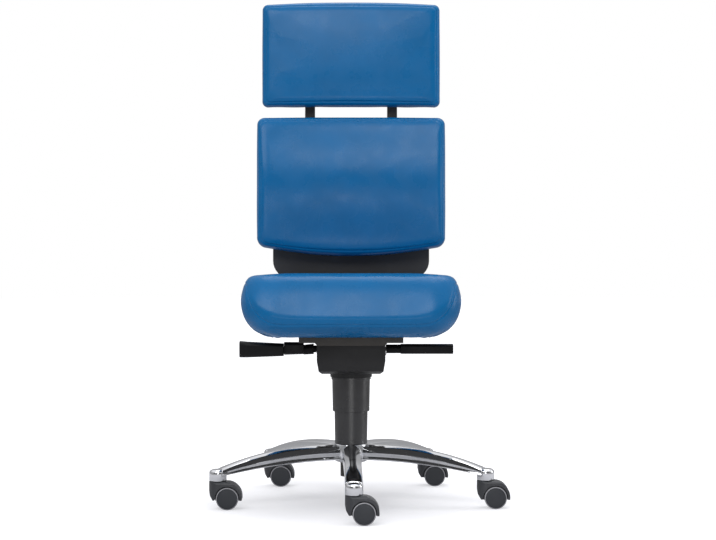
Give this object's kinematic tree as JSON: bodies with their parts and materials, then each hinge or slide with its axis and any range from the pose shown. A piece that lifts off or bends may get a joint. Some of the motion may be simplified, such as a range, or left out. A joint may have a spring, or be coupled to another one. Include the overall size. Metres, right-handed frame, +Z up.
{
  "type": "office chair",
  "caption": "Office swivel chair with blue leather seat, back and headrest pads, synchronised tilt, gas lift and polished star base on twin-wheel casters.",
  "frame": {"origin": "the point on the floor under the column's axis", "axes": "+Z up; the sitter looks along -Y; +X is the sitter's left"},
  "size_m": [0.6729, 0.6543, 1.1603],
  "materials": {
    "polished_aluminium": "mirror polished die-cast",
    "black_plastic": "moulded, satin",
    "column_plastic": "moulded tube, satin",
    "caster_plastic": "moulded, satin",
    "wheel": "moulded with a soft grey tread",
    "painted_steel": "black powder coat",
    "steel": "zinc plated",
    "bush_plastic": "natural plastic",
    "blue_leather": "smooth blue leather"
  },
  "bodies": {
    "base": {"base_star": "polished_aluminium", "stand_tube": "painted_steel", "guide_bush": "bush_plastic", "thrust_bearing": "steel", "sleeve_lower": "column_plastic"},
    "column_middle": {"sleeve_middle": "column_plastic"},
    "swivel": {"piston_rod": "steel", "bearing_washer": "steel", "retaining_clip": "steel"},
    "chassis": {"pressure_cylinder": "painted_steel", "sleeve_upper": "column_plastic", "mechanism_housing": "black_plastic", "back_pivot_pin": "steel", "seat_pivot_pin": "steel", "torsion_springs": "painted_steel"},
    "button": {"release_button": "steel"},
    "height_lever": {"height_lever": "black_plastic"},
    "tilt_lever": {"tilt_lever": "black_plastic"},
    "seat_lever": {"seat_lever": "black_plastic"},
    "back_arm": {"back_carrier": "painted_steel", "link_pin": "steel"},
    "seat_frame": {"seat_carrier": "painted_steel"},
    "seat": {"seat_runners": "black_plastic", "seat_shell": "black_plastic", "seat_screws": "steel", "seat_cushion": "blue_leather"},
    "backrest": {"back_shell": "black_plastic", "bar_guides": "black_plastic", "back_cushion": "blue_leather"},
    "headrest": {"headrest_bar_left": "painted_steel", "headrest_bar_right": "painted_steel", "headrest_shell": "black_plastic", "headrest_screws": "steel", "headrest_cushion": "blue_leather"},
    "caster_1": {"caster_hood_1": "caster_plastic", "caster_stem_1": "steel", "caster_axle_1": "steel"},
    "wheel_front_1": {"wheel_front_1": "wheel"},
    "wheel_back_1": {"wheel_back_1": "wheel"},
    "caster_2": {"caster_hood_2": "caster_plastic", "caster_stem_2": "steel", "caster_axle_2": "steel"},
    "wheel_front_2": {"wheel_front_2": "wheel"},
    "wheel_back_2": {"wheel_back_2": "wheel"},
    "caster_3": {"caster_hood_3": "caster_plastic", "caster_stem_3": "steel", "caster_axle_3": "steel"},
    "wheel_front_3": {"wheel_front_3": "wheel"},
    "wheel_back_3": {"wheel_back_3": "wheel"},
    "caster_4": {"caster_hood_4": "caster_plastic", "caster_stem_4": "steel", "caster_axle_4": "steel"},
    "wheel_front_4": {"wheel_front_4": "wheel"},
    "wheel_back_4": {"wheel_back_4": "wheel"},
    "caster_5": {"caster_hood_5": "caster_plastic", "caster_stem_5": "steel", "caster_axle_5": "steel"},
    "wheel_front_5": {"wheel_front_5": "wheel"},
    "wheel_back_5": {"wheel_back_5": "wheel"}
  },
  "joints": [
    {"name": "middle_sleeve_slide", "type": "slide", "parent": "base", "child": "column_middle", "axis": [0, 0, 1], "range_m": [-0.024, 0.012]},
    {"name": "seat_turn", "type": "hinge", "parent": "base", "child": "swivel", "pos_m": [0, 0, 0.06], "axis": [0, 0, 1], "continuous": true},
    {"name": "height_lift", "type": "slide", "parent": "swivel", "child": "chassis", "axis": [0, 0, 1], "range_m": [-0.06, 0.03]},
    {"name": "button_press", "type": "slide", "parent": "chassis", "child": "button", "axis": [0, 0, -1], "range_m": [0, 0.004], "stiffness_N_per_m": 40, "springref_m": -0.004},
    {"name": "height_lever_lift", "type": "hinge", "parent": "chassis", "child": "height_lever", "pos_m": [-0.2, -0.035, 0.353], "axis": [-1, 0, 0], "range_deg": [0, 6.5], "stiffness_Nm_per_rad": 4, "springref_deg": -5.73},
    {"name": "tilt_lever_turn", "type": "hinge", "parent": "chassis", "child": "tilt_lever", "pos_m": [-0.13, -0.035, 0.353], "axis": [-1, 0, 0], "range_deg": [0, 20]},
    {"name": "seat_lever_lift", "type": "hinge", "parent": "chassis", "child": "seat_lever", "pos_m": [0.17, -0.035, 0.353], "axis": [-1, 0, 0], "range_deg": [0, 15], "stiffness_Nm_per_rad": 2, "springref_deg": -8.59},
    {"name": "back_recline", "type": "hinge", "parent": "chassis", "child": "back_arm", "pos_m": [0, 0.035, 0.335], "axis": [-1, 0, 0], "range_deg": [0, 20], "stiffness_Nm_per_rad": 90, "springref_deg": -25.78},
    {"name": "seat_tilt", "type": "hinge", "parent": "chassis", "child": "seat_frame", "pos_m": [0, -0.085, 0.352], "axis": [-1, 0, 0], "range_deg": [0, 7.1]},
    {"name": "seat_depth", "type": "slide", "parent": "seat_frame", "child": "seat", "axis": [0, -1, 0], "range_m": [0, 0.05]},
    {"name": "back_height", "type": "slide", "parent": "back_arm", "child": "backrest", "axis": [0, 0.0872, 0.9962], "range_m": [0, 0.06]},
    {"name": "headrest_height", "type": "slide", "parent": "backrest", "child": "headrest", "axis": [0, 0.0872, 0.9962], "range_m": [-0.02, 0.05]},
    {"name": "caster_1_swivel", "type": "hinge", "parent": "base", "child": "caster_1", "pos_m": [0.0066, -0.31493, 0.07], "axis": [0, 0, 1], "continuous": true},
    {"name": "wheel_front_1_roll", "type": "hinge", "parent": "caster_1", "child": "wheel_front_1", "pos_m": [0.0281, -0.31493, 0.025], "axis": [0, 1, 0], "continuous": true},
    {"name": "wheel_back_1_roll", "type": "hinge", "parent": "caster_1", "child": "wheel_back_1", "pos_m": [0.0281, -0.31493, 0.025], "axis": [0, 1, 0], "continuous": true},
    {"name": "caster_2_swivel", "type": "hinge", "parent": "base", "child": "caster_2", "pos_m": [0.30156, -0.09105, 0.07], "axis": [0, 0, 1], "continuous": true},
    {"name": "wheel_front_2_roll", "type": "hinge", "parent": "caster_2", "child": "wheel_front_2", "pos_m": [0.32306, -0.09105, 0.025], "axis": [0, 1, 0], "continuous": true},
    {"name": "wheel_back_2_roll", "type": "hinge", "parent": "caster_2", "child": "wheel_back_2", "pos_m": [0.32306, -0.09105, 0.025], "axis": [0, 1, 0], "continuous": true},
    {"name": "caster_3_swivel", "type": "hinge", "parent": "base", "child": "caster_3", "pos_m": [0.17977, 0.25866, 0.07], "axis": [0, 0, 1], "continuous": true},
    {"name": "wheel_front_3_roll", "type": "hinge", "parent": "caster_3", "child": "wheel_front_3", "pos_m": [0.20128, 0.25866, 0.025], "axis": [0, 1, 0], "continuous": true},
    {"name": "wheel_back_3_roll", "type": "hinge", "parent": "caster_3", "child": "wheel_back_3", "pos_m": [0.20128, 0.25866, 0.025], "axis": [0, 1, 0], "continuous": true},
    {"name": "caster_4_swivel", "type": "hinge", "parent": "base", "child": "caster_4", "pos_m": [-0.19045, 0.25091, 0.07], "axis": [0, 0, 1], "continuous": true},
    {"name": "wheel_front_4_roll", "type": "hinge", "parent": "caster_4", "child": "wheel_front_4", "pos_m": [-0.16895, 0.25091, 0.025], "axis": [0, 1, 0], "continuous": true},
    {"name": "wheel_back_4_roll", "type": "hinge", "parent": "caster_4", "child": "wheel_back_4", "pos_m": [-0.16895, 0.25091, 0.025], "axis": [0, 1, 0], "continuous": true},
    {"name": "caster_5_swivel", "type": "hinge", "parent": "base", "child": "caster_5", "pos_m": [-0.29748, -0.10359, 0.07], "axis": [0, 0, 1], "continuous": true},
    {"name": "wheel_front_5_roll", "type": "hinge", "parent": "caster_5", "child": "wheel_front_5", "pos_m": [-0.27598, -0.10359, 0.025], "axis": [0, 1, 0], "continuous": true},
    {"name": "wheel_back_5_roll", "type": "hinge", "parent": "caster_5", "child": "wheel_back_5", "pos_m": [-0.27598, -0.10359, 0.025], "axis": [0, 1, 0], "continuous": true}
  ],
  "couplings": [
    {"joint": "middle_sleeve_slide", "follows": "height_lift", "ratio": 0.4},
    {"joint": "button_press", "follows": "height_lever_lift", "m_per_rad": 0.035},
    {"joint": "seat_tilt", "follows": "back_recline", "ratio": 0.355}
  ]
}
